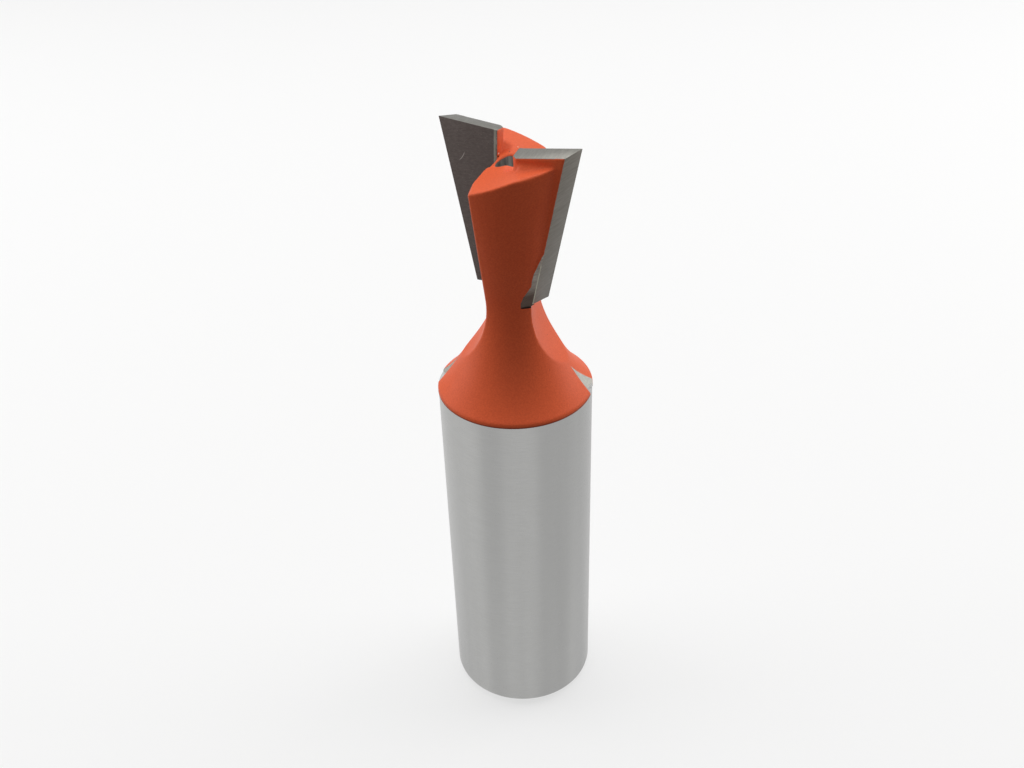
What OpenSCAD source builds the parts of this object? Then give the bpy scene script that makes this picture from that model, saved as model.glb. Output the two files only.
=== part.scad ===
// Dovetail router bit with a 12.7 mm shank and two straight carbide tips.
// One steel body is turned to a waisted head and milled with two gullets and
// two tip pockets, half a turn apart. A carbide tip is brazed in each pocket,
// and the tip's face, flank and end are ground after the head is painted.
// Z is the axis of rotation, with the shank's end face at zero and the cutting
// end up. The cutting edges lead in the +Y direction on the +X side, so the
// bit turns counter-clockwise as seen from its cutting end. All in millimetres.

/* [Shank] */
// Diameter of the shank that the collet grips
shank_d = 12.7; // [10:0.1:16]
// Length of the bare shank, from its end face to the paint line
shank_len = 32.2; // [20:0.1:60]
// Width of the chamfer round the shank's end
shank_chamfer = 0.8; // [0.2:0.1:1.5]

/* [Turned head] */
// Height of the cutting end above the paint line
head_len = 21.7; // [20.5:0.1:26]
// Height of the full-diameter collar above the paint line
collar_h = 0.3; // [0.1:0.1:1]
// Diameter of the waist between the collar and the cutter
waist_d = 6.0; // [5.6:0.1:6.6]
// Height of the waist above the paint line
waist_h = 7.6; // [7:0.1:8.4]
// Angle of the cone behind the tips, measured from the axis
cone_angle = 11.9; // [10:0.1:13]
// Radius of the hollow between the waist and the cone
cone_hollow_r = 9.6; // [8:0.1:11]

/* [Cutting geometry] */
// Cutting diameter at the end of the bit
cut_d = 12.7; // [12:0.1:13.5]
// Length of the cutting edges along the axis
cut_len = 12.7; // [11:0.1:13]
// Dovetail angle, measured from the axis
dovetail_angle = 14; // [12:0.5:15]
// Distance of the cutting face behind the axis, at the cutting end
face_offset = 1.43; // [1:0.01:1.8]
// Lean of the cutting face along the axis
face_lean = 4.9; // [2:0.1:7]
// Clearance behind the side edge, at the cutting diameter
side_clearance = 12; // [8:0.5:16]
// Fall of the end edge towards the axis
end_dish = 6.8; // [2:0.1:10]
// Clearance behind the end edge
end_clearance = 7.5; // [5:0.5:12]

/* [Carbide tips] */
// Thickness of a tip
tip_t = 1.5; // [1.2:0.1:2]
// Chamfer on a tip's inner back edge, which clears the pocket's corner
tip_chamfer = 0.35; // [0.1:0.05:0.6]
// Thickness of the braze behind a tip
seat_braze = 0.1; // [0.05:0.01:0.2]
// Thickness of the braze at a tip's inner end
end_braze = 0.15; // [0.05:0.01:0.3]
// Height above the paint line that the fillet of spare braze reaches up a tip
fillet_h = 20.6; // [20.3:0.01:20.8]
// Steepness of the fillet's surface
fillet_slope = 45; // [30:1:60]

/* [Gullets] */
// Thickness of the steel web between the two tip pockets
web_t = 3.0; // [2.6:0.1:3.4]
// Distance of a gullet's floor from the axis, at its run-out
gullet_floor = 1.65; // [1.4:0.05:1.9]
// Turn of a gullet's floor away from its pocket's floor, seen along the axis
gullet_turn = 13.9; // [8:0.1:18]
// Lean of a gullet's floor away from the axis, towards the cutting end
gullet_lean = 3.2; // [0:0.1:4]
// Height above the paint line at which the run-out starts
runout_h = 9.1; // [8:0.1:10]
// Radius of the milling cutter that leaves the run-out
runout_r = 7.9; // [6:0.1:10]

/* [End facets] */
// Height of the two outer facets above the paint line, on the axis
outer_facet_h = 19.62; // [19:0.01:19.9]
// Slope of an outer facet across its wing
outer_facet_slope = 20.8; // [15:0.1:24]
// Slope of an outer facet away from its tip
outer_facet_fall = 5.3; // [0:0.1:8]
// Height of the two inner facets above the paint line, on the axis
inner_facet_h = 19.81; // [19.6:0.01:20.1]
// Slope of an inner facet across its wing
inner_facet_slope = 11.5; // [8:0.1:14]
// Slope of an inner facet away from its tip
inner_facet_fall = 2.9; // [0:0.1:5]
// Steepness of the ramp from the middle of the head up to a wing
ramp_slope = 28.6; // [20:0.1:40]
// Steepness of the ramp across its wing
ramp_rise = 19.3; // [12:0.1:26]
// Distance of the ramp's foot from the axis, along the pocket's floor
ramp_foot = 1.24; // [1:0.01:1.5]
// Height of the ramp's foot above the paint line
ramp_foot_h = 19.17; // [18.8:0.01:19.4]
// Diameter of the centre hole
centre_d = 2.0; // [1.5:0.1:2.4]
// Depth of the centre hole's straight part, below the outer facets' height
centre_depth = 1.8; // [1:0.1:4]

/* [Grinding marks] */
// Turn of the ground heel from the flank, about its edge behind the braze
heel_turn = 22; // [10:0.5:30]
// Diameter of the wheel that grinds the cutting faces
wheel_d = 48; // [46:1:52]
// Width of the worn corner round the wheel's face
wheel_corner = 0.5; // [0.3:0.1:0.8]
// Distance from the axis of the wheel's closest approach
wheel_reach = 1.6; // [1.55:0.01:2]
// Height of the wheel's centre above the paint line, at the end of its stroke
wheel_h = 13.8; // [13.4:0.1:14.4]

/* [Hidden] */
$fn = 96;

paint_colour = [0.87, 0.34, 0.14];
carbide_colour = [0.38, 0.37, 0.36];
braze_colour = [0.72, 0.68, 0.56];

shank_r = shank_d / 2;
waist_r = waist_d / 2;
cut_r = cut_d / 2;
web_half = web_t / 2;
head_top = shank_len + head_len;
tip_bottom = head_top - cut_len;
past = 4 * cut_d; // reach of the cutting blocks, well past the part

// The waist is two hollow arcs that meet at its narrowest place. The lower one
// passes through the collar's upper corner, and the upper one runs over into
// the cone.
waist_z = shank_len + waist_h;
collar_z = shank_len + collar_h;
flare_hollow_r = (pow(shank_r - waist_r, 2) + pow(waist_z - collar_z, 2)) / (2 * (shank_r - waist_r));
cone_start_r = waist_r + cone_hollow_r * (1 - cos(cone_angle));
cone_start_z = waist_z + cone_hollow_r * sin(cone_angle);
blank_top_r = cone_start_r + (head_top - cone_start_z) * tan(cone_angle);

// The side edge runs in the leaning cutting face, from the cutting diameter
// down the dovetail angle.
foot_cut_r = cut_r - cut_len * tan(dovetail_angle);
foot_offset = face_offset - cut_len * tan(face_lean);
edge_top_x = sqrt(pow(cut_r, 2) - pow(face_offset, 2));
edge_foot_x = sqrt(pow(foot_cut_r, 2) - pow(foot_offset, 2));
edge_drop = cut_len / cos(face_lean);
edge_angle = atan((edge_top_x - edge_foot_x) / edge_drop);
flank_angle = asin(face_offset / cut_r) + side_clearance;
tip_inner_x = web_half + end_braze;

// Both halves of the cutter: the children once as they are, once half a turn on
module both_sides() {
    for (turn = [0, 180]) rotate([0, 0, turn]) children();
}

// Everything below a sloping plane that meets the axis at height h
module below(h, slope, fall) {
    translate([0, 0, shank_len + h])
        rotate([0, -slope, 0])
            rotate([fall, 0, 0])
                translate([-past, -past, -2 * past])
                    cube([2 * past, 2 * past, 2 * past]);
}

// The frame of the cutting face: X outward, Y out of the face, Z up the face,
// from the foot of the axis in the face at the cutting end
module in_face_frame() {
    translate([0, -face_offset, head_top])
        rotate([face_lean, 0, 0])
            children();
}

// Everything in front of the plane that lies the given depth behind the face
module in_front_of(depth) {
    in_face_frame()
        translate([-past, -depth, -past])
            cube([2 * past, past, 2 * past]);
}

// A hollow of the turned outline that is tangent to the waist
module hollow(radius) {
    translate([waist_r + radius, waist_z]) circle(r = radius, $fn = 180);
}

// The shank and the waisted head, as they come off the lathe
module turned_blank() {
    rotate_extrude() {
        difference() {
            polygon([
                [0, 0],
                [shank_r - shank_chamfer, 0],
                [shank_r, shank_chamfer],
                [shank_r, collar_z],
                [waist_r, waist_z],
                [0, waist_z]
            ]);
            hollow(flare_hollow_r);
        }
        difference() {
            polygon([
                [0, waist_z],
                [waist_r, waist_z],
                [cone_start_r, cone_start_z],
                [blank_top_r, head_top],
                [0, head_top]
            ]);
            hollow(cone_hollow_r);
        }
    }
}

// The milled end of the head: a low roof in the middle, and a wing behind each
// tip that rises up a ramp and falls away in two facets
module end_form() {
    ramp_h = ramp_foot_h - web_half * tan(ramp_rise) - ramp_foot * tan(ramp_slope) / cos(ramp_rise);
    intersection() {
        below(outer_facet_h, outer_facet_slope, outer_facet_fall);
        rotate([0, 0, 180]) below(outer_facet_h, outer_facet_slope, outer_facet_fall);
    }
    both_sides()
        intersection() {
            below(outer_facet_h, outer_facet_slope, outer_facet_fall);
            below(inner_facet_h, inner_facet_slope, inner_facet_fall);
            below(ramp_h, ramp_rise, -ramp_slope);
        }
}

// A drilled centre with a pointed bottom
module centre_hole() {
    straight_z = shank_len + outer_facet_h - centre_depth;
    translate([0, 0, straight_z]) cylinder(d = centre_d, h = past);
    translate([0, 0, straight_z - centre_d / 3])
        cylinder(d1 = 0, d2 = centre_d, h = centre_d / 3);
}

// The path of the gullet's milling cutter: a flat floor that leans out towards
// the cutting end and runs out of the flare in a round sweep
module gullet() {
    intersection() {
        rotate([0, 0, gullet_turn])
            translate([gullet_floor, 0, shank_len + runout_h])
                rotate([0, gullet_lean, 0])
                    rotate([90, 0, 0])
                        translate([0, 0, -past])
                            linear_extrude(2 * past) {
                                translate([runout_r, 0]) circle(r = runout_r, $fn = 120);
                                square([2 * runout_r, past]);
                            }
        in_front_of(tip_t + seat_braze);
    }
}

// The square pocket that the tip is brazed into
module tip_pocket() {
    intersection() {
        translate([web_half, -past, tip_bottom]) cube([past, 2 * past, past]);
        in_front_of(tip_t + seat_braze);
    }
}

// What the wheel takes off the collar as it grinds the cutting face
module face_wheel_nick() {
    wheel_r = wheel_d / 2;
    in_face_frame()
        translate([wheel_reach + wheel_r, 0, wheel_h - head_len])
            rotate([-90, 0, 0])
                rotate_extrude($fn = 240)
                    polygon([
                        [0, 0],
                        [wheel_r - wheel_corner, 0],
                        [wheel_r, wheel_corner],
                        [wheel_r, past],
                        [0, past]
                    ]);
}

// Everything outside the ground flank: the plane through the side edge that
// slopes inward behind it
module outside_flank() {
    in_face_frame()
        translate([edge_top_x, 0, 0])
            rotate([0, edge_angle, 0])
                rotate([0, 0, -flank_angle])
                    translate([0, -past, -past])
                        cube([past, 2 * past, 2 * past]);
}

// Everything above the ground end: the plane through the end edge, which falls
// towards the axis and behind the edge
module above_end() {
    in_face_frame()
        translate([edge_top_x, 0, 0])
            rotate([end_clearance - face_lean, 0, 0])
                rotate([0, -end_dish, 0])
                    translate([-past, -past, 0])
                        cube([2 * past, 2 * past, past]);
}

// Everything outside the heel: the plane that falls away behind the braze more
// steeply than the flank
module outside_heel() {
    in_face_frame()
        translate([edge_top_x, 0, 0])
            rotate([0, edge_angle, 0])
                rotate([0, 0, -flank_angle])
                    translate([0, -(tip_t + seat_braze) / cos(flank_angle), 0])
                        rotate([0, 0, -heel_turn])
                            translate([0, -past, -past])
                                cube([past, 2 * past, 2 * past]);
}

// The flank and heel are also ground on the steel behind the tip, down to the
// tip's foot
module flank_grinding() {
    intersection() {
        union() {
            outside_flank();
            outside_heel();
        }
        translate([0, -past, tip_bottom]) cube([past, past, past]);
    }
}

// The head's outside before the tips are let in
module wing_stock() {
    intersection() {
        turned_blank();
        union() {
            cylinder(r = past, h = tip_bottom);
            end_form();
        }
    }
}

module body() {
    color(paint_colour)
        difference() {
            wing_stock();
            centre_hole();
            both_sides() {
                gullet();
                tip_pocket();
                face_wheel_nick();
                flank_grinding();
            }
        }
}

// A tip's blank in the frame of the cutting face, with its inner back edge
// chamfered
module tip_blank() {
    in_face_frame()
        translate([0, 0, -past / 2])
            linear_extrude(past)
                polygon([
                    [tip_inner_x, 0],
                    [tip_inner_x, -tip_t + tip_chamfer],
                    [tip_inner_x + tip_chamfer, -tip_t],
                    [cut_r, -tip_t],
                    [cut_r, 0]
                ]);
}

module carbide_tip() {
    color(carbide_colour)
        difference() {
            tip_blank();
            outside_flank();
            above_end();
            cylinder(r = past, h = tip_bottom);
        }
}

// The fillet of spare braze in the corner between a tip's back and its wing
module fillet_stock() {
    back_y = (head_len - fillet_h) * tan(face_lean) - face_offset - tip_t / cos(face_lean);
    difference() {
        intersection() {
            below(fillet_h - back_y * tan(fillet_slope), 0, fillet_slope);
            translate([tip_inner_x + tip_chamfer, -cut_r, shank_len + outer_facet_h])
                cube([cut_r, cut_r, head_len - outer_facet_h]);
        }
        in_front_of(tip_t);
        below(inner_facet_h, inner_facet_slope, inner_facet_fall);
    }
}

// The braze fills the pocket behind the tip and at its inner end, flush with
// the steel round it, and stands in a fillet on the wing
module braze_seam() {
    color(braze_colour) {
        difference() {
            intersection() {
                wing_stock();
                tip_pocket();
            }
            in_front_of(0);
            outside_flank();
            above_end();
            tip_blank();
        }
        fillet_stock();
    }
}

module carbide_tip_1() { carbide_tip(); }
module carbide_tip_2() { rotate([0, 0, 180]) carbide_tip(); }
module braze_seam_1() { braze_seam(); }
module braze_seam_2() { rotate([0, 0, 180]) braze_seam(); }

body();
carbide_tip_1();
carbide_tip_2();
braze_seam_1();
braze_seam_2();
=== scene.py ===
import math

import bmesh
import bpy
from mathutils import Matrix, Vector


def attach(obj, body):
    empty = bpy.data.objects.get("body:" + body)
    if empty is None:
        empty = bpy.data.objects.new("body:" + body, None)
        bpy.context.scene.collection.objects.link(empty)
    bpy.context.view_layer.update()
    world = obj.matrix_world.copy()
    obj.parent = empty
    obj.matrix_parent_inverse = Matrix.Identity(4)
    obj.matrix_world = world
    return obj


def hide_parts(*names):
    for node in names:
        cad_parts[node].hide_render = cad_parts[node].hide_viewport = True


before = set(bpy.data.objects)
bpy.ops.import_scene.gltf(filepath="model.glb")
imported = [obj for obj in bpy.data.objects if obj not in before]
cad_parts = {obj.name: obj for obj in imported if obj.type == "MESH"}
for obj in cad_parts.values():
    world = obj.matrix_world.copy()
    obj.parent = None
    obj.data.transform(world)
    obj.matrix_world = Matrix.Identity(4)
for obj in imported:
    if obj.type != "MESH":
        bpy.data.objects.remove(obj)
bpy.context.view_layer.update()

# The carbide tips are two bars of dark grey sintered carbide, one the other
# turned half a turn. Each is brazed into its pocket, and its face, flank and
# end are then ground to sharp edges, which set out every other ground surface.
MM = 0.001
HEAD_TOP = 53.9 * MM
CUT_RADIUS = 6.35 * MM
CUT_LENGTH = 12.7 * MM
DOVETAIL_ANGLE = math.radians(14)
FACE_OFFSET = 1.43 * MM       # the face stands this far ahead of the axis
FACE_LEAN = math.radians(4.9)
SIDE_CLEARANCE = math.radians(12)
END_DISH = math.radians(6.8)
END_CLEARANCE = math.radians(7.5)
TIP_FOOT = HEAD_TOP - CUT_LENGTH
TIP_INNER = 1.43 * MM
TIP_THICKNESS = 1.5 * MM
TIP_CHAMFER = 0.35 * MM
EDGE_ROUND = 0.025 * MM
FACE_START = TIP_INNER + 0.24 * MM   # the face wheel starts here
FACE_STEP = 0.03 * MM                # and leaves a step of this height
STEP_SLOPE = 0.02 * MM               # half the width of the step's slope
CUT_MERGE = 0.00001 * MM             # points this near a cut lie on it

foot_radius = CUT_RADIUS - CUT_LENGTH * math.tan(DOVETAIL_ANGLE)
foot_offset = FACE_OFFSET - CUT_LENGTH * math.tan(FACE_LEAN)
edge_top = math.sqrt(CUT_RADIUS ** 2 - FACE_OFFSET ** 2)
edge_foot = math.sqrt(foot_radius ** 2 - foot_offset ** 2)
edge_angle = math.atan((edge_top - edge_foot) / (CUT_LENGTH / math.cos(FACE_LEAN)))
flank_angle = math.asin(FACE_OFFSET / CUT_RADIUS) + SIDE_CLEARANCE

in_face = Matrix.Translation((0, -FACE_OFFSET, HEAD_TOP)) @ Matrix.Rotation(FACE_LEAN, 4, "X")
at_corner = in_face @ Matrix.Translation((edge_top, 0, 0))
flank_plane = at_corner @ Matrix.Rotation(edge_angle, 4, "Y") @ Matrix.Rotation(-flank_angle, 4, "Z")
end_plane = (at_corner @ Matrix.Rotation(END_CLEARANCE - FACE_LEAN, 4, "X")
             @ Matrix.Rotation(-END_DISH, 4, "Y"))
half_turn = Matrix.Rotation(math.pi, 4, "Z")


def cut_away(bm, plane, outward):
    """Cuts off what lies beyond a plane, along its own axis, and closes the cut."""
    made = bmesh.ops.bisect_plane(
        bm, geom=bm.verts[:] + bm.edges[:] + bm.faces[:], dist=CUT_MERGE,
        plane_co=plane.to_translation(), plane_no=plane.to_3x3() @ Vector(outward), clear_outer=True)
    rim = [e for e in made["geom_cut"] if isinstance(e, bmesh.types.BMEdge)]
    bmesh.ops.contextual_create(bm, geom=rim)


def block(low, high, place):
    """A block between two corners of the frame that place gives."""
    bm = bmesh.new()
    bmesh.ops.create_cube(bm, size=1)
    low, high = Vector(low), Vector(high)
    bmesh.ops.transform(bm, matrix=place @ Matrix.Translation((low + high) / 2)
                        @ Matrix.Diagonal((*(high - low), 1)), verts=bm.verts)
    return bm


def tip_stock(reach, under):
    """The bar before grinding. Its inner end and back are done, and it stands
    out by reach at its face, flank and end, and by under at its foot."""
    bm = block((TIP_INNER, -TIP_THICKNESS, -CUT_LENGTH - 2 * MM),
               (CUT_RADIUS + reach, reach, 1 * MM + reach), Matrix.Identity(4))
    cut_away(bm, Matrix.Translation((TIP_INNER + TIP_CHAMFER, -TIP_THICKNESS, 0)), (-1, -1, 0))
    bmesh.ops.transform(bm, matrix=in_face, verts=bm.verts)
    cut_away(bm, Matrix.Translation((0, 0, TIP_FOOT - under)), (0, 0, -1))
    return bm


def ground_tip():
    bm = tip_stock(0.0, 0.0)
    cut_away(bm, flank_plane, (1, 0, 0))
    cut_away(bm, end_plane, (0, 0, 1))
    bmesh.ops.recalc_face_normals(bm, faces=bm.faces)
    return bm


def finished(bm, name, finishes, turned):
    """Makes an object of the bmesh, for the far side after half a turn."""
    if turned:
        bmesh.ops.transform(bm, matrix=half_turn, verts=bm.verts)
    bmesh.ops.recalc_face_normals(bm, faces=bm.faces)
    mesh = bpy.data.meshes.new(name)
    bm.to_mesh(mesh)
    bm.free()
    for finish in finishes:
        mesh.materials.append(finish)
    made = bpy.data.objects.new(name, mesh)
    bpy.context.scene.collection.objects.link(made)
    return made


def add(tree, kind, sockets=None, **values):
    """A node with its settings, its inputs given as values or as outputs to link."""
    made = tree.nodes.new(kind)
    for key, value in values.items():
        setattr(made, key, value)
    for key, value in (sockets or {}).items():
        if isinstance(value, bpy.types.NodeSocket):
            tree.links.new(value, made.inputs[key])
        else:
            made.inputs[key].default_value = value
    return made


def noise(tree, vector, scale, detail=2.0, roughness=0.5):
    return add(tree, "ShaderNodeTexNoise", {"Vector": vector, "Scale": scale, "Detail": detail,
                                            "Roughness": roughness}).outputs["Fac"]


def ramp(tree, fac, low, high, to_low=0.0, to_high=1.0):
    return add(tree, "ShaderNodeMapRange", {"Value": fac, "From Min": low, "From Max": high,
                                            "To Min": to_low, "To Max": to_high}).outputs["Result"]


def sums(tree, operation, *values):
    return add(tree, "ShaderNodeMath", dict(enumerate(values)), operation=operation).outputs[0]


def mixed(tree, fac, a, b):
    a, b = [c if isinstance(c, bpy.types.NodeSocket) else (*c, 1) for c in (a, b)]
    return add(tree, "ShaderNodeMix", {0: fac, 6: a, 7: b}, data_type="RGBA").outputs[2]


def spot(tree, vector, place, radius):
    """A round mark with a soft rim: 1 inside, 0 outside."""
    away = add(tree, "ShaderNodeVectorMath", {0: vector, 1: [c * MM for c in place]}, operation="DISTANCE")
    return ramp(tree, away.outputs["Value"], radius * 0.55 * MM, radius * MM, 1.0, 0.0)


def material(name):
    made = bpy.data.materials.new(name)
    made.use_nodes = True
    tree = made.node_tree
    return made, tree, tree.nodes["Principled BSDF"], add(tree, "ShaderNodeTexCoord").outputs["Object"]


# Grinding leaves fine scratches one way and a cloud of duller places, on the
# carbide and on the steel alike.
grinding = bpy.data.node_groups.new("grinding_marks", "ShaderNodeTree")
for kind, socket in (("Vector", "Vector"), ("Vector", "Turn"), ("Vector", "Stretch"), ("Float", "Scale")):
    grinding.interface.new_socket(socket, in_out="INPUT", socket_type="NodeSocket" + kind)
for socket in ("Marks", "Fine", "Cloud"):
    grinding.interface.new_socket(socket, in_out="OUTPUT", socket_type="NodeSocketFloat")
inside, outside = add(grinding, "NodeGroupInput").outputs, add(grinding, "NodeGroupOutput").inputs
placed = add(grinding, "ShaderNodeMapping", {"Vector": inside["Vector"], "Rotation": inside["Turn"]})
drawn = add(grinding, "ShaderNodeVectorMath", {0: placed.outputs[0], 1: inside["Stretch"]}, operation="MULTIPLY")
for socket, factor in (("Marks", 1.0), ("Fine", 3.1)):
    scale = sums(grinding, "MULTIPLY", inside["Scale"], factor)
    grinding.links.new(noise(grinding, drawn.outputs[0], scale, 3.0, 0.6), outside[socket])
grinding.links.new(noise(grinding, inside["Vector"], 450.0, 3.0), outside["Cloud"])


def ground_metal(name, light, dark, roughness, stretch, scale, turn=(0, 0, 0), depth=0.001,
                 metallic=1.0, turned=False, wear_and_painted_light=None):
    """A ground finish between two colours. An optional function may add marks to the colour: real wear on the
    carbide, a darker foot on the heel, painted reflection bands on the shank.
    """
    made, tree, shader, at = material(name)
    if turned:
        at = add(tree, "ShaderNodeMapping", {"Vector": at, "Rotation": (0, 0, math.pi)}).outputs[0]
    marks = add(tree, "ShaderNodeGroup", node_tree=grinding)
    for key, value in (("Turn", turn), ("Stretch", stretch), ("Scale", scale)):
        marks.inputs[key].default_value = value
    tree.links.new(at, marks.inputs["Vector"])
    shade = mixed(tree, ramp(tree, marks.outputs["Marks"], 0.3, 0.7), dark, light)
    shade = mixed(tree, ramp(tree, marks.outputs["Cloud"], 0.3, 0.75, 0.0, 0.35), shade, dark)
    if wear_and_painted_light:
        shade = wear_and_painted_light(tree, at, shade)
    relief = add(tree, "ShaderNodeBump", {"Strength": 0.5, "Distance": depth * MM,
                                          "Height": marks.outputs["Marks"]})
    tree.links.new(shade, shader.inputs["Base Color"])
    tree.links.new(ramp(tree, marks.outputs["Fine"], 0.3, 0.7, roughness - 0.07, roughness + 0.07),
                   shader.inputs["Roughness"])
    tree.links.new(relief.outputs[0], shader.inputs["Normal"])
    shader.inputs["Metallic"].default_value = metallic
    return made


def face_wear(tree, at, shade):
    """The light chip and the short curved scratch on the face, and pale specks.
    The scratch is a piece of a ring, kept where a wide soft spot lies on it."""
    speck = ramp(tree, noise(tree, at, 16000.0, 1.0), 0.7, 0.78, 0.0, 0.35)
    chip = spot(tree, at, (5.14, -2.26, 53.67), 0.09)
    ring_centre, ring_radius = (5.35 * MM, -1.2 * MM, 51.75 * MM), 1.3 * MM
    ring = add(tree, "ShaderNodeVectorMath", {0: at, 1: ring_centre}, operation="DISTANCE")
    line = sums(tree, "ABSOLUTE", sums(tree, "SUBTRACT", ring.outputs["Value"], ring_radius))
    line = ramp(tree, line, 0.012 * MM, 0.03 * MM, 1.0, 0.0)
    scratch = sums(tree, "MULTIPLY", line, spot(tree, at, (4.31, -1.19, 51.07), 0.45))
    mark = sums(tree, "MAXIMUM", sums(tree, "MAXIMUM", speck, chip), sums(tree, "MULTIPLY", scratch, 0.6))
    return mixed(tree, mark, shade, (0.42, 0.38, 0.35))


def strip_wear(tree, at, shade):
    """Paint and dirt caught in dots along the bar's inner corner."""
    across = add(tree, "ShaderNodeSeparateXYZ", {"Vector": at}).outputs["X"]
    dots = sums(tree, "MULTIPLY", ramp(tree, across, TIP_INNER + 0.02 * MM, TIP_INNER + 0.05 * MM, 1.0, 0.0),
                ramp(tree, noise(tree, at, 4200.0, 1.0), 0.46, 0.54))
    return mixed(tree, dots, shade, (0.03, 0.02, 0.015))


FACE, FLANK, END, UNGROUND, SINTERED = range(5)   # order of a bar's finishes
for number in (1, 2):
    bm = ground_tip()
    bmesh.ops.bevel(bm, geom=bm.edges[:], offset=EDGE_ROUND, offset_type="OFFSET", affect="EDGES",
                    segments=2, profile=0.5, material=-1)
    for slope_end in (FACE_START - STEP_SLOPE, FACE_START + STEP_SLOPE):
        bmesh.ops.bisect_plane(bm, geom=bm.verts[:] + bm.edges[:] + bm.faces[:], dist=CUT_MERGE,
                               plane_co=(slope_end, 0, 0), plane_no=(1, 0, 0))
    outward = in_face.to_3x3() @ Vector((0, 1, 0))
    flank_out = flank_plane.to_3x3() @ Vector((1, 0, 0))
    end_out = end_plane.to_3x3() @ Vector((0, 0, 1))
    for face in bm.faces:
        face.material_index = SINTERED
        for finish, normal in ((FACE, outward), (FLANK, flank_out), (END, end_out)):
            if face.normal.dot(normal) > 0.9:
                face.material_index = finish
        if face.material_index == FACE and face.calc_center_median().x < FACE_START + STEP_SLOPE:
            face.material_index = UNGROUND
    back_of_face = in_face.inverted()
    for vert in bm.verts:
        if vert.co.x < FACE_START and (back_of_face @ vert.co).y > -0.5 * TIP_THICKNESS:
            vert.co += outward * FACE_STEP
    turned = number == 2
    tip = finished(bm, f"carbide_bar_{number}", (
        ground_metal(f"face_finish_{number}", (0.115, 0.095, 0.088), (0.085, 0.069, 0.064), 0.5,
                     (1, 1, 2.5), 3200.0, turned=turned, wear_and_painted_light=face_wear if turned else None),
        ground_metal(f"flank_finish_{number}", (0.205, 0.19, 0.17), (0.14, 0.13, 0.113), 0.42, (0.6, 0.6, 9),
                     1500.0, turn=(0, math.radians(28), math.radians(-25)), depth=0.0012, turned=turned),
        ground_metal(f"end_finish_{number}", (0.22, 0.215, 0.195), (0.16, 0.155, 0.14), 0.45,
                     (5, 0.7, 1), 1500.0, turned=turned),
        ground_metal(f"unground_finish_{number}", (0.3, 0.3, 0.26), (0.2, 0.2, 0.17), 0.55,
                     (1, 1, 1), 2500.0, metallic=0.4, turned=turned, wear_and_painted_light=strip_wear),
        ground_metal(f"sintered_finish_{number}", (0.2, 0.2, 0.19), (0.13, 0.13, 0.12), 0.55,
                     (1, 1, 1), 2500.0, metallic=0.5)), turned)
    tip.data.shade_smooth()
    tip.data.set_sharp_from_angle(angle=math.radians(25))
    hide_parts(f"carbide_tip_{number}")
    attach(tip, "root")

# The braze is a thin layer of silver alloy, molten in between each tip and its
# pocket. Paint covers it, but for a bright line at the foot, where flank and
# heel are ground.
SEAT_BRAZE = 0.06 * MM
BRAZE_SHOWS = 3.6 * MM        # height of the bright line over the tip's foot
BRAZE_DIP = math.radians(20)  # above the line its edge dips under the paint
BRAZE_TOP = 10 * MM           # height of the whole layer over the tip's foot
HEEL_TURN = math.radians(20)  # the heel falls away from the flank by this
edge_up = flank_plane.to_3x3() @ Vector((0, 0, 1))
edge_foot_z = (TIP_FOOT - flank_plane.to_translation().z) / edge_up.z
at_foot = Matrix.Translation(edge_up * edge_foot_z) @ flank_plane
heel_plane = (at_foot @ Matrix.Translation((0, -TIP_THICKNESS / math.cos(flank_angle), 0))
              @ Matrix.Rotation(-HEEL_TURN, 4, "Z"))
seat_back = -TIP_THICKNESS - SEAT_BRAZE
for number in (1, 2):
    bm = block((TIP_INNER + TIP_CHAMFER, seat_back, -20 * MM), (9 * MM, -TIP_THICKNESS, 9 * MM), in_face)
    cut_away(bm, Matrix.Translation((0, 0, TIP_FOOT)), (0, 0, -1))
    cut_away(bm, Matrix.Translation((0, 0, TIP_FOOT + BRAZE_TOP)), (0, 0, 1))
    cut_away(bm, flank_plane, (1, 0, 0))
    cut_away(bm, heel_plane, (1, 0, 0))
    line_end = at_foot @ Matrix.Translation((0, 0, BRAZE_SHOWS))
    cut_away(bm, line_end @ Matrix.Rotation(-BRAZE_DIP, 4, "Y"), (1, 0, 0))
    seam = finished(bm, f"braze_line_{number}", (
        ground_metal(f"silver_braze_{number}", (0.36, 0.35, 0.29), (0.22, 0.21, 0.17), 0.4,
                     (1, 1, 3), 1500.0),), number == 2)
    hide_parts(f"braze_seam_{number}")
    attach(seam, "root")

# The head is turned and milled steel. With its tips brazed in it is sprayed
# with an orange satin paint, which rounds every edge and fills the corners.
PAINT_LINE = 32.2 * MM        # where the bare shank ends
PAINT_FILM = 0.05 * MM        # thickness of the dry paint
PAINT_GRAIN = 0.058 * MM      # mesh size of the sprayed skin
PAINT_FLOW = 26               # how far the wet paint has drawn back from edges
CORNER_FLOW = 90              # how far paint and braze fill the roof's corners
PAINT_KEEP = 0.16             # share of the skin's faces that are kept
BARE_BELOW = 0.7 * MM         # steel kept under the paint line while spraying


def worked(name, thing):
    """A new object of the mesh that the thing's modifiers give."""
    bpy.context.view_layer.update()
    mesh = bpy.data.meshes.new_from_object(thing.evaluated_get(bpy.context.evaluated_depsgraph_get()))
    mesh.name = name
    made = bpy.data.objects.new(name, mesh)
    bpy.context.scene.collection.objects.link(made)
    return made


# Places and radii of marks in the paint, in millimetres.
PAINT_PITS = (((2.57, 0.82, 37.04), 0.09), ((2.43, 2.47, 36.6), 0.06), ((3.73, -1.67, 35.44), 0.07),
              ((-3.97, -0.45, 35.26), 0.06), ((2.6, -5.75, 32.75), 0.07), ((-0.45, 1.42, 51.8), 0.1),
              ((-1.3, 1.2, 51.45), 0.1))
PAINT_CHIPS = (((-1.35, 1.42, 51.6), 0.08), ((-0.3, 2.66, 51.75), 0.07))


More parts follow.
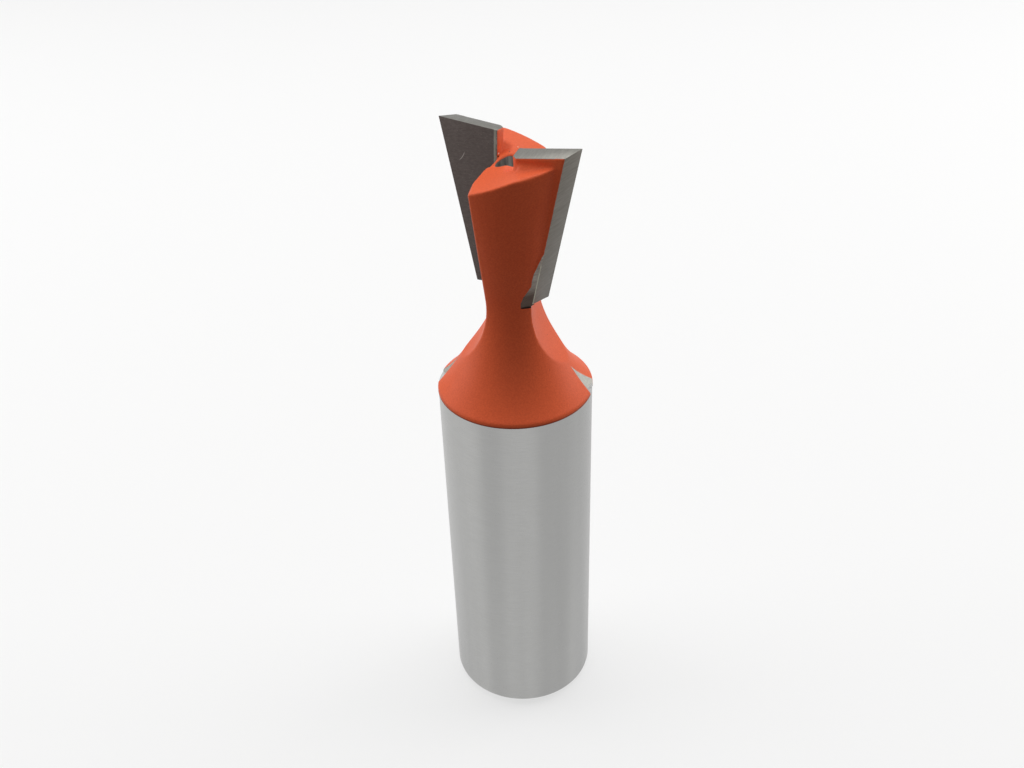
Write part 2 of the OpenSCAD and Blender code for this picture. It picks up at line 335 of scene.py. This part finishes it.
def orange_paint():
    """Speckled satin paint with pits, chips and a painted shade line along its lower edge."""
    made, tree, shader, at = material("orange_paint")
    speckle = noise(tree, at, 7500.0, 2.0, 0.6)
    cloud = noise(tree, at, 260.0, 3.0)
    shade = mixed(tree, ramp(tree, speckle, 0.3, 0.7), (0.69, 0.105, 0.036), (0.8, 0.135, 0.046))
    shade = mixed(tree, ramp(tree, cloud, 0.35, 0.75, 0.0, 0.25), shade, (0.69, 0.1, 0.036))
    uneven = add(tree, "ShaderNodeTexNoise", {"Vector": at, "Scale": 6000.0}).outputs["Color"]
    uneven = add(tree, "ShaderNodeVectorMath", {0: uneven, 1: (0.00008,) * 3}, operation="MULTIPLY").outputs[0]
    uneven = add(tree, "ShaderNodeVectorMath", {0: at, 1: uneven}, operation="ADD").outputs[0]
    height = add(tree, "ShaderNodeSeparateXYZ", {"Vector": at}).outputs["Z"]
    # Painted shade: the paint is darkened just over its lower edge, where the thin step onto the shank lies in
    # shade. The same dark colour marks the real pits.
    dark = ramp(tree, height, PAINT_LINE + 0.05 * MM, PAINT_LINE + 0.16 * MM, 0.75, 0.0)
    for place, radius in PAINT_PITS:
        dark = sums(tree, "MAXIMUM", dark, spot(tree, uneven, place, radius))
    shade = mixed(tree, dark, shade, (0.12, 0.03, 0.015))
    chipped = [spot(tree, uneven, place, radius) for place, radius in PAINT_CHIPS]
    shade = mixed(tree, sums(tree, "MAXIMUM", *chipped), shade, (0.85, 0.75, 0.65))
    relief = add(tree, "ShaderNodeBump", {"Strength": 0.35, "Distance": 0.006 * MM, "Height": speckle})
    tree.links.new(shade, shader.inputs["Base Color"])
    tree.links.new(ramp(tree, cloud, 0.3, 0.7, 0.4, 0.52), shader.inputs["Roughness"])
    tree.links.new(relief.outputs[0], shader.inputs["Normal"])
    shader.inputs["Specular IOR Level"].default_value = 0.12
    return made


# The heel's ground patch: how far it reaches behind the tip at each height
# over the tip's foot, from the foot up to where it runs out.
HEEL_OUTLINE = ((1.0, -0.1), (1.1, 0.24), (1.0, 0.83), (0.75, 1.32), (0.52, 1.8),
                (0.56, 2.4), (0.52, 2.97), (0.38, 3.48), (0.12, 4.5))
HEEL_AHEAD = 0.5 * MM         # the patch's shape reaches this far into the flank
HEEL_FOOT_RISE = 0.1 * MM     # and its foot rises by this towards the flank


def heel_prism(inner, outer, wider, under):
    """The patch's outline from a depth under its surface to a height over it,
    made wider all round and taken down by under at its foot."""
    bm = bmesh.new()
    outline = [(-reach * MM - wider, height * MM) for reach, height in HEEL_OUTLINE]
    outline[0] = (outline[0][0], outline[0][1] - under)
    outline += [(HEEL_AHEAD, outline[-1][1] + wider), (HEEL_AHEAD, HEEL_FOOT_RISE - 2 * under),
                (0, outline[0][1])]
    patch = bm.faces.new([bm.verts.new((inner, y, z)) for y, z in outline])
    grown = bmesh.ops.extrude_face_region(bm, geom=[patch])
    bmesh.ops.translate(bm, vec=(outer - inner, 0, 0),
                        verts=[v for v in grown["geom"] if isinstance(v, bmesh.types.BMVert)])
    bmesh.ops.transform(bm, matrix=heel_plane, verts=bm.verts)
    return bm


# The sprayed blank is body, braze, tips and heel patches under one skin.
paint = orange_paint()
bm = bmesh.new()
for node in ("body", "braze_seam_1", "braze_seam_2"):
    bm.from_mesh(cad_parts[node].data)
for turned in (False, True):
    for part in (ground_tip(), heel_prism(-0.8 * MM, 0.1 * MM, 0.0, 0.0)):
        solid = finished(part, "sprayed_part", (), turned)
        bm.from_mesh(solid.data)
        bpy.data.objects.remove(solid)
bmesh.ops.remove_doubles(bm, verts=bm.verts, dist=0.0005 * MM)
cut_away(bm, Matrix.Translation((0, 0, PAINT_LINE - BARE_BELOW)), (0, 0, -1))
for face in bm.faces:
    face.material_index = 0
blank = finished(bm, "sprayed_blank", (), False)
blank.data.materials.clear()
blank.data.materials.append(paint)
step = blank.modifiers.new("spray", "REMESH")
step.mode, step.voxel_size, step.use_smooth_shade = "VOXEL", PAINT_GRAIN, True
step = blank.modifiers.new("flow", "SMOOTH")
step.factor, step.iterations = 0.5, PAINT_FLOW
head = worked("painted_head", blank)
bpy.data.objects.remove(blank)


def near(value, low, high, fade):
    """1 between low and high, falling to 0 over fade on both sides."""
    return max(0.0, min(1.0, (value - low) / fade + 1, (high - value) / fade + 1))


# The corners that fill: the one behind each tip, and the middle of the roof.
corners = head.vertex_groups.new(name="corners")
behind_tip = in_face.inverted()
for vert in head.data.vertices:
    x, y, z = vert.co
    if z > PAINT_LINE + 16 * MM:
        side = -1 if x < 0 else 1
        along, behind, depth = behind_tip @ Vector((x * side, y * side, z))
        fillet = (near(along, TIP_INNER - 0.5 * MM, 3.6 * MM, 0.8 * MM)
                  * near(behind, -3.2 * MM, -1.4 * MM, 0.4 * MM) * near(depth, -9 * MM, -1.2 * MM, 0.4 * MM))
        middle = near(math.hypot(x, y), -1 * MM, 1.4 * MM, 0.5 * MM)
        if max(fillet, middle) > 0:
            corners.add([vert.index], max(fillet, middle), "REPLACE")
step = head.modifiers.new("fill", "SMOOTH")
step.factor, step.iterations, step.vertex_group = 0.5, CORNER_FLOW, "corners"
step = head.modifiers.new("thin", "DECIMATE")
step.ratio = PAINT_KEEP
step = head.modifiers.new("film", "DISPLACE")
step.strength, step.mid_level, step.direction = PAINT_FILM, 0.0, "NORMAL"

# Grinding bares the steel: the flank and the heel behind each tip, the end,
# and a nick in the collar where the face wheel leaves. The tips' rooms are
# cut with them, and the centre is drilled after painting.
WHEEL_RADIUS = 24 * MM
WHEEL_CORNER = 0.5 * MM
WHEEL_REACH = 1.6 * MM        # how near the wheel's rim comes to the axis
WHEEL_HEIGHT = PAINT_LINE + 13.8 * MM
FOOT_FREE = 0.07 * MM         # the film that is scraped off below a tip
CENTRE_RADIUS = 1.0 * MM
CENTRE_FLOOR = PAINT_LINE + 17.82 * MM


def flank_room():
    """All that the flank's wheel takes off beyond its plane."""
    bm = block((0, -12 * MM, -20 * MM), (10 * MM, 12 * MM, 20 * MM), flank_plane)
    cut_away(bm, Matrix.Translation((0, 0, TIP_FOOT - 0.9 * FOOT_FREE)), (0, 0, -1))
    cut_away(bm, Matrix.Identity(4), (0, 1, 0))
    return bm


def seam_room():
    """Room for the layer of braze where it shows."""
    bm = block((TIP_INNER + TIP_CHAMFER, seat_back, -20 * MM), (9 * MM, 0.3 * MM - TIP_THICKNESS, 9 * MM), in_face)
    cut_away(bm, Matrix.Translation((0, 0, TIP_FOOT - 0.01 * MM)), (0, 0, -1))
    cut_away(bm, Matrix.Translation((0, 0, TIP_FOOT + BRAZE_SHOWS)), (0, 0, 1))
    return bm


def turned_shape(outline, axis, steps):
    """Spins an outline of (radius, height) round an axis through the origin."""
    bm = bmesh.new()
    along = Vector(axis)
    verts = [bm.verts.new(Vector((radius, 0, 0)) + along * height) for radius, height in outline]
    edges = [bm.edges.new(pair) for pair in zip(verts, verts[1:])]
    bmesh.ops.spin(bm, geom=verts + edges, cent=(0, 0, 0), axis=axis, dvec=(0, 0, 0),
                   angle=2 * math.pi, steps=steps, use_merge=True, use_duplicate=False)
    bmesh.ops.remove_doubles(bm, verts=bm.verts, dist=0.0001 * MM)
    return bm


def face_wheel():
    """The wheel that grinds a tip's face and runs out into the collar."""
    deep = 12 * MM
    bm = turned_shape([(0, 0), (WHEEL_RADIUS - WHEEL_CORNER, 0), (WHEEL_RADIUS, WHEEL_CORNER),
                       (WHEEL_RADIUS, deep), (0, deep)], (0, 1, 0), 720)
    bmesh.ops.transform(bm, matrix=in_face @ Matrix.Translation(
        (WHEEL_REACH + WHEEL_RADIUS, 0, WHEEL_HEIGHT - HEAD_TOP)), verts=bm.verts)
    return bm


def heel_foot_darkening(tree, at, shade):
    """The heel's colour darkens towards its foot."""
    height = add(tree, "ShaderNodeSeparateXYZ", {"Vector": at}).outputs["Z"]
    low = ramp(tree, height, TIP_FOOT + 0.9 * MM, TIP_FOOT + 1.7 * MM, 0.85, 0.15)
    return mixed(tree, low, shade, (0.05, 0.03, 0.022))


bare_steel = ground_metal("bare_ground_steel", (0.27, 0.265, 0.24), (0.2, 0.195, 0.175), 0.45,
                          (1, 5, 5), 900.0, depth=0.002)
heel_steel = ground_metal("heel_steel", (0.3, 0.28, 0.25), (0.18, 0.16, 0.14), 0.5,
                          (1, 1, 4), 1500.0, wear_and_painted_light=heel_foot_darkening)
# Painted reflection: the drilled wall's light colour and its upright bands stand in for the room above reflected
# in the bore.
drilled_steel_painted_reflection = ground_metal("drilled_steel_painted_reflection", (0.75, 0.75, 0.72), (0.16, 0.16, 0.15), 0.4,
                             (3, 3, 0.4), 900.0, metallic=0.6, depth=0.003)
tools = [finished(block((-10 * MM, -10 * MM, PAINT_LINE - 20 * MM), (10 * MM, 10 * MM, PAINT_LINE),
                        Matrix.Identity(4)), "masking", (paint,), False)]
for turned in (False, True):
    over_end = block((-9 * MM + TIP_INNER - edge_top, -3 * MM, 0), (9 * MM, 3 * MM, 5 * MM), end_plane)
    cut_away(over_end, Matrix.Translation((TIP_INNER - 0.2 * MM, 0, 0)), (-1, 0, 0))
    ahead = block((TIP_INNER - 0.3 * MM, FACE_STEP, -CUT_LENGTH), (FACE_START, 2 * MM, 2 * MM), in_face)
    tools += [finished(tip_stock(2 * MM, FOOT_FREE), "tip_room", (bare_steel,), turned),
              finished(seam_room(), "seam_room", (bare_steel,), turned),
              finished(flank_room(), "flank_room", (bare_steel,), turned),
              finished(heel_prism(0.0, 2 * MM, 0.03 * MM, 0.2 * MM), "heel_room", (heel_steel,), turned),
              finished(over_end, "end_room", (paint,), turned),
              finished(ahead, "face_room", (paint,), turned),
              finished(face_wheel(), "wheel", (bare_steel,), turned)]
tools.append(finished(turned_shape(
    [(0, CENTRE_FLOOR - CENTRE_RADIUS * 0.67), (CENTRE_RADIUS, CENTRE_FLOOR),
     (CENTRE_RADIUS, HEAD_TOP), (0, HEAD_TOP)], (0, 0, 1), 96), "centre_drill", (drilled_steel_painted_reflection,), False))
for tool in tools:
    step = head.modifiers.new(tool.name, "BOOLEAN")
    step.operation, step.object, step.solver = "DIFFERENCE", tool, "EXACT"
    step.material_mode, step.use_hole_tolerant = "TRANSFER", True

# The shank is the same steel, centreless ground and left bare below the paint,
# whose edge stands on it as a thin step. Its end has a chamfer.
SHANK_RADIUS = 6.35 * MM
SHANK_CHAMFER = 0.8 * MM
SHANK_SOFT = 0.12 * MM        # rounding of the chamfer's corners
SHANK_TOP = PAINT_LINE + 0.2 * MM
SHARP_PAINT = math.radians(55)
SHARP_METAL = math.radians(15)


def shank_reflection_bands(tree, at, shade):
    """Painted reflection: soft darker bands up the shank stand in for the room's reflection in the ground
    cylinder.
    """
    upright = add(tree, "ShaderNodeVectorMath", {0: at, 1: (1, 1, 0.03)}, operation="MULTIPLY").outputs[0]
    painted_band = ramp(tree, noise(tree, upright, 260.0, 2.0), 0.35, 0.7, 0.0, 0.6)
    return mixed(tree, painted_band, shade, (0.34, 0.34, 0.335))


shank_steel = ground_metal("ground_shank_steel", (0.53, 0.53, 0.52), (0.48, 0.48, 0.47), 0.33,
                           (1, 1, 14), 900.0, depth=0.0005, wear_and_painted_light=shank_reflection_bands)
shank = finished(turned_shape(
    [(0, 0), (SHANK_RADIUS - SHANK_CHAMFER - SHANK_SOFT, 0),
     (SHANK_RADIUS - SHANK_CHAMFER + SHANK_SOFT * 0.5, SHANK_SOFT * 0.4),
     (SHANK_RADIUS - SHANK_SOFT * 0.4, SHANK_CHAMFER - SHANK_SOFT * 0.5),
     (SHANK_RADIUS, SHANK_CHAMFER + SHANK_SOFT), (SHANK_RADIUS, SHANK_TOP), (0, SHANK_TOP)],
    (0, 0, 1), 240), "shank_stock", (shank_steel,), False)
step = head.modifiers.new("shank", "BOOLEAN")
step.operation, step.object, step.solver = "UNION", shank, "EXACT"
step.material_mode = "TRANSFER"
steel_body = worked("steel_body", head)
for used in [head, shank] + tools:
    bpy.data.objects.remove(used)
steel_body.data.shade_smooth()
bm = bmesh.new()
bm.from_mesh(steel_body.data)
for edge in bm.edges:
    finish = {face.material_index for face in edge.link_faces}
    sharp_from = SHARP_PAINT if finish == {0} else SHARP_METAL
    edge.smooth = len(finish) == 1 and edge.calc_face_angle(0.0) < sharp_from
bm.to_mesh(steel_body.data)
bm.free()
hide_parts("body")
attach(steel_body, "root")

# The bit stands on a pale floor in soft light from above, behind and both
# sides, seen from a little above the cutting end.
VIEW_TURN = math.radians(23.2)
FLOOR_REACH = 3.0
bm = bmesh.new()
bmesh.ops.create_grid(bm, x_segments=1, y_segments=1, size=FLOOR_REACH)
floor_finish, tree, shader, at = material("pale_floor")
shader.inputs["Roughness"].default_value = 0.9
seen = add(tree, "ShaderNodeLightPath").outputs
pale = mixed(tree, seen["Is Camera Ray"], (0.12, 0.12, 0.12), (0.3, 0.3, 0.298))
tree.links.new(pale, shader.inputs["Base Color"])
glow = sums(tree, "ADD", sums(tree, "MULTIPLY", seen["Is Camera Ray"], 0.6),
            sums(tree, "MULTIPLY", seen["Is Glossy Ray"], 0.7))
glow = add(tree, "ShaderNodeEmission", {"Strength": glow})
both = add(tree, "ShaderNodeAddShader", {0: shader.outputs[0], 1: glow.outputs[0]})
tree.links.new(both.outputs[0], tree.nodes["Material Output"].inputs["Surface"])
floor = finished(bm, "floor", (floor_finish,), False)

world = bpy.data.worlds.new("soft_room")
world.use_nodes = True
tree = world.node_tree
seen = add(tree, "ShaderNodeLightPath").outputs
toward = add(tree, "ShaderNodeTexCoord").outputs["Generated"]
behind = add(tree, "ShaderNodeVectorMath", {0: toward, 1: (-math.sin(VIEW_TURN), math.cos(VIEW_TURN), 0)},
             operation="DOT_PRODUCT").outputs["Value"]
room = sums(tree, "MULTIPLY", seen["Is Glossy Ray"], ramp(tree, behind, -0.5, 0.5, 0.4, 0.5))
room = sums(tree, "ADD", room, 0.31)
tree.links.new(room, tree.nodes["Background"].inputs["Strength"])
tree.nodes["Background"].inputs["Color"].default_value = (1, 1, 1, 1)
bpy.context.scene.world = world


def soft_light(name, place, size, power):
    data = bpy.data.lights.new(name, "AREA")
    data.shape, data.energy = "RECTANGLE", power
    data.size, data.size_y = size
    made = bpy.data.objects.new(name, data)
    bpy.context.scene.collection.objects.link(made)
    made.location = Matrix.Rotation(VIEW_TURN, 4, "Z") @ Vector(place)
    toward = Vector((0, 0, 0.035)) - made.location
    made.rotation_mode = "QUATERNION"
    made.rotation_quaternion = toward.to_track_quat("-Z", "Y")


soft_light("overhead", (0.0, 0.14, 0.42), (0.5, 0.4), 1.2)
soft_light("left", (-0.38, 0.1, 0.16), (0.3, 0.4), 0.85)
soft_light("right", (0.38, 0.14, 0.18), (0.3, 0.4), 0.95)

camera = bpy.data.objects.new("camera", bpy.data.cameras.new("camera"))
bpy.context.scene.collection.objects.link(camera)
PHOTO_WIDTH = 1024
FOCAL_PIXELS = 1149.7
VIEW_ZOOM = 0.93
SENSOR_WIDTH = 36
camera.data.sensor_width = SENSOR_WIDTH
camera.data.lens = SENSOR_WIDTH * FOCAL_PIXELS / PHOTO_WIDTH * VIEW_ZOOM
camera.data.clip_start = 0.005
camera.data.clip_end = 10
yaw, pitch, roll = math.radians(-0.22), math.radians(33.6), math.radians(1.89)
ahead = Vector((math.sin(yaw) * math.cos(pitch), math.cos(yaw) * math.cos(pitch), -math.sin(pitch)))
right = Vector((math.cos(yaw), -math.sin(yaw), 0))
down = ahead.cross(right)
across = right * math.cos(roll) + down * math.sin(roll)
downward = down * math.cos(roll) - right * math.sin(roll)
turned_view = Matrix.Rotation(VIEW_TURN, 4, "Z")
aim = Matrix((across, -downward, -ahead)).transposed().to_4x4()
camera.matrix_world = turned_view @ Matrix.Translation((0, -0.07379, 0.04901 + PAINT_LINE)) @ aim
bpy.context.scene.camera = camera
bpy.context.scene.view_settings.view_transform = "Standard"
